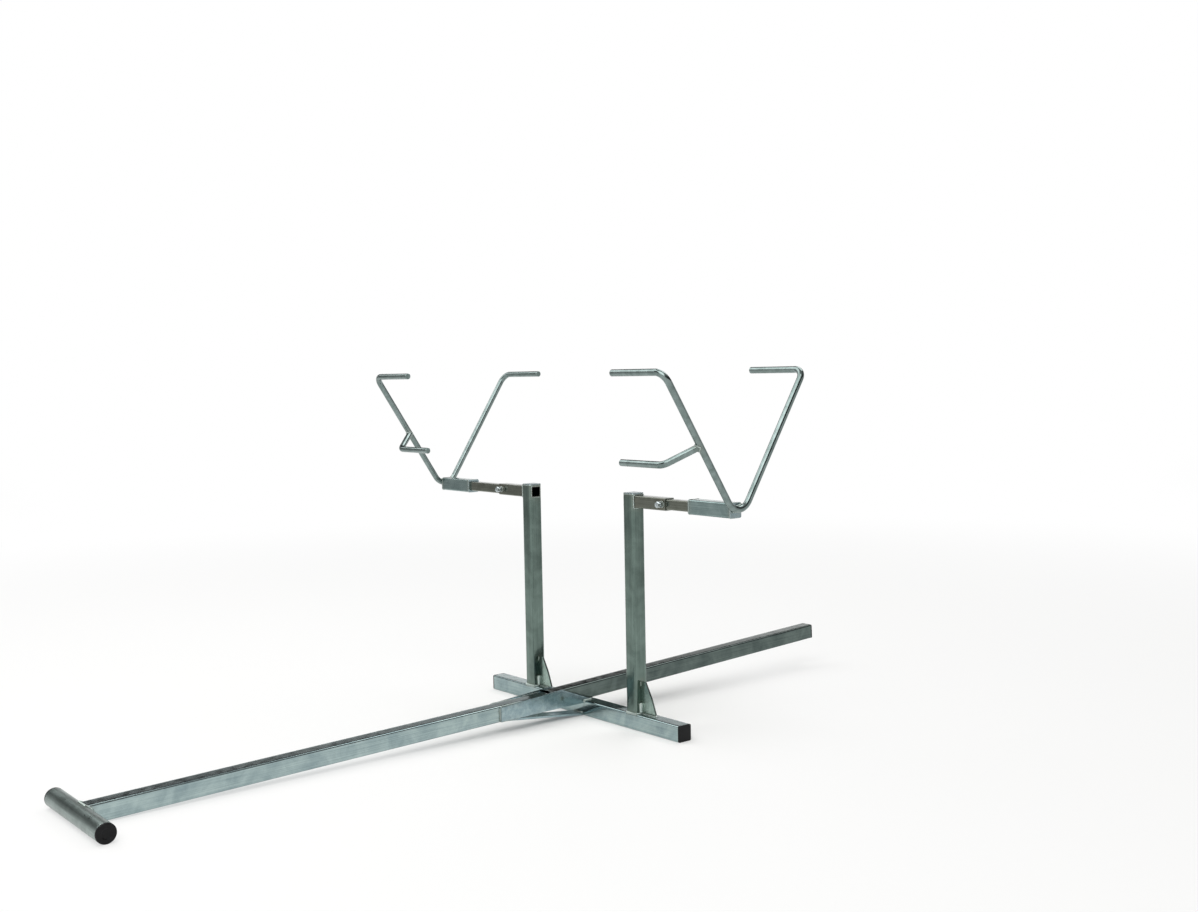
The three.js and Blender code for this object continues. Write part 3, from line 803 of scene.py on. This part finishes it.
def bead(shape, corners, radius, closed=False):
    """A rippled bead along a line of points, which are noted for the dull plating beside it."""
    corners = [Vector(corner) for corner in corners]
    line = dense(corners + corners[:1] * closed, bead_step)
    if closed:
        line.pop()
    weld_points.extend(line[::6])
    count = len(line)
    loops = []
    for i, point in enumerate(line):
        before = line[i - 1] if closed or i else point
        after = line[(i + 1) % count] if closed or i < count - 1 else point
        along = (after - before).normalized()
        across = (lean - along * lean.dot(along)).normalized()
        other = along.cross(across)
        walked = i * bead_step
        size = radius * (1 + 0.09 * cos(2 * pi * walked / ripple_pitch) + 0.08 * sin(walked / 4.3))
        if not closed:
            to_go = (count - 1 - i) * bead_step
            size *= min(1, 0.45 + walked / 5, 0.45 + to_go / 5)
        loops.append([point + (across * c + other * s) * size for c, s in spokes(bead_sides)])
    loft(shape, loops, closed)


def bead_round(shape, size, corner, place, radius):
    """A bead round a square tube; place turns (y, z) into a point of the lift."""
    path = [place(y, z) for _, y, z in rounded_square(0, size, corner, 3)]
    bead(shape, path, radius, closed=True)


def weld_piece(shape, name, body, material=plated_weld):
    """The beads of one body as a finished piece."""
    piece(None, shape, material, name=name, body=body)


# Round the lever's cope, along the cheek plates' edges and front ends, from the plates to the cross
# tube, and across both ends of the brace
lever_welds = bmesh.new()
tube_section = [Vector((y, z)) for _, y, z in rounded_square(0, tube_size, tube_corner, 3)]
cope = dense(tube_section + tube_section[:1], 3)[:-1]
bead(lever_welds, [
    lever_at @ Vector((sqrt(bar_radius ** 2 - z * z) + 0.5, y, z)) for y, z in cope],
    radius=3, closed=True)
# Where the beads along the cheek plates run, and half the length of those across their front ends
# and across the brace's upper and lower end
cheek_beads = ((-280, -225), (-185, -130))
edge_drop = lever_half_height - cheek_lip + 0.3
front_half, upper_half, lower_half = lever_half_height - 4, 17, 18
for way in (1, -1):
    edge_x, outer_x = way * (cheek_inner + 0.2), way * cheek_outer
    for near, far in cheek_beads:
        for level_way in (1, -1):
            bead(lever_welds, [
                (edge_x, y, lever_z(y) + level_way * edge_drop) for y in (near, far)], radius=2.1)
    bead(lever_welds, [
        (edge_x, -cheek_reach - 0.2, lever_z(-cheek_reach) + level_way * front_half)
        for level_way in (1, -1)], radius=2.6)
    bead(lever_welds, [
        (outer_x, -half_tube, tube_size - cheek_step), (outer_x, -half_tube, tube_size),
        (outer_x, cheek_back, tube_size + seam)], radius=3)
bead(lever_welds, [
    (x, -brace_reach, under_lever(-brace_reach)) for x in (-upper_half, upper_half)], radius=2.6)
bead(lever_welds, [
    (x, -half_tube - seam, brace_top) for x in (-lower_half, lower_half)], radius=3)
# The bead under the lever is ground off where the T-bar lies on the floor
for point in lever_welds.verts:
    point.co.z = max(point.co.z, 0.3)
weld_piece(lever_welds, "welds_of_lever", "frame")

leg_welds = bmesh.new()
for way in (1, -1):
    bead(leg_welds, [
        leg_at @ Vector((bush_radius * c, way * half_tube, bush_radius * s))
        for c, s in spokes(16)], radius=0.5, closed=True)
weld_piece(leg_welds, "welds_of_leg", "support_leg")

# Round an upright's foot and top, round the socket on both its sides, and round the clamp nut
nut_ring = screw_flats / 2 + 0.6
for side, way in sides:
    welds, heavy_welds = bmesh.new(), bmesh.new()
    x = way * upright_x
    outside, inside = way * (upright_x + half_upright), way * (socket_start + 0.3)
    bead_round(
        welds, upright_size, upright_corner, lambda y, z: (x + y, z, upright_foot), radius=3.2)
    bead_round(
        welds, upright_size - 0.6, upright_corner, lambda y, z: (x + y, z, upright_end + seam / 2),
        radius=1)
    bead_round(
        welds, socket_size + 1.6, socket_corner, lambda y, z: (outside, y, arm_z + z), radius=2.2)
    bead_round(welds, socket_size, socket_corner, lambda y, z: (inside, y, arm_z + z), radius=1)
    bead(welds, [
        (way * screw_x + nut_ring * c, -half_socket - 0.2, arm_z + nut_ring * s)
        for c, s in spokes(24)], radius=1.3, closed=True)

    # Short runs at the gusset's nose, long ones along its foot, and heavy ones at its root and toe
    root = gusset_root[side]
    toe = root + gusset_out
    skin = gusset_thick / 2
    for level_way in (1, -1):
        bead(welds, [
            (root, level_way * skin, upright_foot + gusset_height - down) for down in (0, 12)],
            radius=1.6)
        bead(welds, [(out, level_way * skin, upright_foot) for out in (root, toe)], radius=2)
        bead(heavy_welds, [
            (root + 2, level_way * (skin + 2), upright_foot + up) for up in (27, 2)], radius=5.2)
    bead(heavy_welds, [(toe - 1, y, upright_foot + 1) for y in (-skin, skin)], radius=3.6)
    weld_piece(welds, f"welds_of_upright_{side}", "frame")
    weld_piece(heavy_welds, f"welds_of_gusset_{side}", "frame", highlighted_weld)

# Round a cradle's sleeve on both its plates, from the outer plate to the V's bend, and round the
# stop rod's end. The bar is welded to its plate from inside the sleeve, so that the plate can close
# on the socket.
slant = atan(v_half / (v_top - v_apex))
bend_z = v_apex + apex_bend / sin(slant)
# Radius and half width of the beads over and under the bend
bend_beads = ((apex_bend - 6.5, 17), (apex_bend + 6.5, 13))
for side, way in sides:
    welds = bmesh.new()
    for inward in (sleeve_start - seam / 2, inner_plate - seam / 2):
        plate_x = way * (cradle_x[side] - inward)
        bead_round(
            welds, sleeve_size - 0.8, bar_corner, lambda y, z: (plate_x, y, arm_z + z), radius=1.2)
    bend_x = way * (cradle_x[side] - outer_plate + 1.2)
    for bend_radius, reach in bend_beads:
        ys = [reach * (k / 6 - 1) for k in range(13)]
        bead(welds, [(bend_x, y, bend_z - sqrt(bend_radius ** 2 - y * y)) for y in ys], radius=2.6)

    join, leg_way, stop_way = cradle_parts[side]
    first = stop_way.orthogonal().normalized()
    second = stop_way.cross(first)
    ring = []
    for c, s in spokes(24):
        rim = (first * c + second * s) * rod_radius
        # Where this line of the stop rod's skin leaves the V's leg
        flat_way = stop_way - leg_way * stop_way.dot(leg_way)
        flat_rim = rim - leg_way * rim.dot(leg_way)
        a, b = flat_way.length_squared, flat_way.dot(flat_rim)
        reached = (sqrt(max(b * b - a * (flat_rim.length_squared - rod_radius ** 2), 0)) - b) / a
        ring.append(join + rim + stop_way * (reached + 0.6))
    bead(welds, ring, radius=2.2, closed=True)
    weld_piece(welds, f"welds_of_cradle_{side}", f"cradle_{side}")

# Dull plating beside the welds
# The heat of welding leaves the plating dull. It is strongest at the bead, and fades over about
# half a centimetre.
fade = 5 * mm
strongest_heat = 0.5
weld_tree = KDTree(len(weld_points))
for i, point in enumerate(weld_points):
    weld_tree.insert(point * mm, i)
weld_tree.balance()
for made in zinc_pieces:
    heat = made.data.attributes.new("weld_heat", "FLOAT", "POINT")
    for vertex, value in zip(made.data.vertices, heat.data):
        distance = weld_tree.find(made.matrix_world @ vertex.co)[2]
        value.value = exp(-distance / fade) * strongest_heat

# Studio
# A pale floor with a painted pool of light, under a bright horizon, with a dark ceiling above it.
# The ceiling is what the upper faces of the steel mirror, and the bright floor is what its sides
# mirror.
floor_radius = 120
floor_shape = bmesh.new()
bmesh.ops.create_circle(floor_shape, cap_ends=True, segments=96, radius=floor_radius)
floor_mesh = bpy.data.meshes.new("floor")
floor_shape.to_mesh(floor_mesh)
floor_shape.free()
floor = add_object("floor", floor_mesh)

sight = Vector((ahead.x, ahead.y, 0)).normalized()
rightwards = Vector((sight.y, -sight.x, 0))


def surroundings(tree, heading):
    """How bright the studio is in a level direction from the lift: white along the sight line, both
    ways, nearly white at the near sides, and grey at the far left and far right."""
    along = add_node(
        tree, "VectorMath", {0: heading, 1: sight}, operation="DOT_PRODUCT").outputs["Value"]
    across = add_node(
        tree, "VectorMath", {0: heading, 1: rightwards}, operation="DOT_PRODUCT").outputs["Value"]
    right = add_node(tree, "MapRange", {
        "Value": along, "From Min": 0.1, "From Max": -0.5, "To Min": 0.58, "To Max": 0.95})
    left = add_node(tree, "MapRange", {
        "Value": along, "From Min": -0.3, "From Max": 0.3, "To Min": 1, "To Max": 0.46})
    side = add_node(tree, "MapRange", {
        "Value": across, "From Min": -0.2, "From Max": 0.2,
        "To Min": left.outputs["Result"], "To Max": right.outputs["Result"]})
    either_way = add_node(tree, "Math", {0: along}, operation="ABSOLUTE")
    return add_node(tree, "MapRange", {
        "Value": either_way.outputs["Value"],
        "From Min": cos(radians(48)), "From Max": cos(radians(30)),
        "To Min": side.outputs["Result"], "To Max": 1},
        interpolation_type="SMOOTHSTEP").outputs["Result"]


# The floor's glow is a painted pool of light: white in the fan that the camera sees, which is fixed
# in the room, and greyer, in the studio's tones, beside that fan and far away. Round the lift it is
# mostly plain matt paint, which keeps the shadow; further out it is seen and mirrored as a glow.
painted = bpy.data.materials.new("studio floor with painted light pool")
painted.use_nodes = True
tree = painted.node_tree
tree.nodes.clear()
place = add_node(tree, "TexCoord").outputs["Object"]
from_stand = add_node(tree, "VectorMath", {
    0: place, 1: camera_place}, operation="SUBTRACT")
depth = add_node(tree, "VectorMath", {
    0: from_stand.outputs[0], 1: sight}, operation="DOT_PRODUCT")
aside = add_node(tree, "VectorMath", {
    0: from_stand.outputs[0], 1: rightwards}, operation="DOT_PRODUCT")
reached = add_node(tree, "Math", {0: depth.outputs["Value"], 1: 0.8}, operation="MAXIMUM")
spread = add_node(tree, "Math", {
    0: aside.outputs["Value"], 1: reached.outputs["Value"]}, operation="DIVIDE")
off_sight = add_node(tree, "Math", {0: spread.outputs["Value"]}, operation="ABSOLUTE")
floor_heading = add_node(tree, "VectorMath", {0: place}, operation="NORMALIZE")
around = surroundings(tree, floor_heading.outputs[0])
beside_picture = add_node(tree, "MapRange", {
    "Value": off_sight.outputs["Value"], "From Min": 0.465, "From Max": 0.78,
    "To Min": 1, "To Max": around}, interpolation_type="SMOOTHSTEP")
from_middle = add_node(tree, "VectorMath", {0: place}, operation="LENGTH")
far = add_node(tree, "MapRange", {
    "Value": from_middle.outputs["Value"], "From Min": 6, "From Max": 14},
    interpolation_type="SMOOTHSTEP")
pool = add_node(tree, "Mix", {
    0: far.outputs["Result"], 2: beside_picture.outputs["Result"], 3: around}, data_type="FLOAT")
pool_colour = add_node(tree, "CombineColor", {
    name: pool.outputs[0] for name in ("Red", "Green", "Blue")})
near_glow = add_node(tree, "MapRange", {
    "Value": from_middle.outputs["Value"], "From Min": 0.15, "From Max": 0.7,
    "To Min": 0.1, "To Max": 0.6}, interpolation_type="SMOOTHSTEP")
glow = add_node(tree, "MapRange", {
    "Value": from_middle.outputs["Value"], "From Min": 1, "From Max": 5,
    "To Min": near_glow.outputs["Result"], "To Max": 1}, interpolation_type="SMOOTHSTEP")
path = add_node(tree, "LightPath").outputs
seen = add_node(tree, "Math", {
    0: path["Is Camera Ray"], 1: path["Is Glossy Ray"]}, operation="ADD")
seen_too = add_node(tree, "Math", {
    0: seen.outputs["Value"], 1: path["Is Transmission Ray"]}, operation="ADD", use_clamp=True)
strength = add_node(tree, "Math", {
    0: seen_too.outputs["Value"], 1: glow.outputs["Result"]}, operation="MULTIPLY")
# Painted light: the glow's colour is the painted pool, white in the fan and greyer beside it
white = add_node(tree, "Emission", {"Color": pool_colour.outputs["Color"]})
matt = add_node(tree, "BsdfDiffuse", {"Color": linear("#F4F4F2")})
blend = add_node(tree, "MixShader", {
    0: strength.outputs["Value"], 1: matt.outputs["BSDF"], 2: white.outputs["Emission"]})
add_node(tree, "OutputMaterial", {"Surface": blend.outputs["Shader"]})
floor_mesh.materials.append(painted)

# The sky is white to just above the picture's upper edge, dark above that, and grey again overhead
world = bpy.data.worlds.new("studio")
world.use_nodes = True
bpy.context.scene.world = world
sky = world.node_tree
sky.nodes.clear()
direction = add_node(sky, "TexCoord").outputs["Generated"]
height = add_node(sky, "SeparateXYZ", {"Vector": direction}).outputs["Z"]
levelled = add_node(sky, "VectorMath", {0: direction, 1: (1, 1, 0)}, operation="MULTIPLY")
heading = add_node(sky, "VectorMath", {0: levelled.outputs[0]}, operation="NORMALIZE")
horizon = add_node(sky, "MapRange", {
    "Value": height, "From Min": sin(radians(15.08)), "From Max": sin(radians(15.2)),
    "To Min": surroundings(sky, heading.outputs[0]), "To Max": 0.03})
overhead = add_node(sky, "MapRange", {
    "Value": height, "From Min": sin(radians(32)), "From Max": sin(radians(60)), "To Max": 0.4})
brightness = add_node(sky, "Math", {
    0: horizon.outputs["Result"], 1: overhead.outputs["Result"]}, operation="ADD")
backdrop = add_node(sky, "Background", {
    "Color": linear("#FFFFFF"), "Strength": brightness.outputs["Value"]})
add_node(sky, "OutputWorld", {"Surface": backdrop.outputs["Background"]})


def softbox(name, place, aim, size, watts):
    """A square lamp that faces a point."""
    lamp = add_object(name, bpy.data.lights.new(name, "AREA"))
    lamp.data.size, lamp.data.energy = size, watts
    facing = (Vector(aim) - Vector(place)).to_track_quat("-Z", "Y").to_matrix()
    lamp.matrix_world = Matrix.Translation(place) @ facing.to_4x4()


softbox("key lamp", (1.8, -2.6, 4.0), (0, -0.2, 0.3), size=4.2, watts=138)
softbox("fill lamp", (-2.6, -1.4, 3.8), (0, 0, 0.3), size=3.6, watts=86)
softbox("back lamp", (-0.8, 2.8, 4.4), (0, 0.2, 0.3), size=3.0, watts=70)

bpy.context.scene.view_settings.view_transform = "Standard"
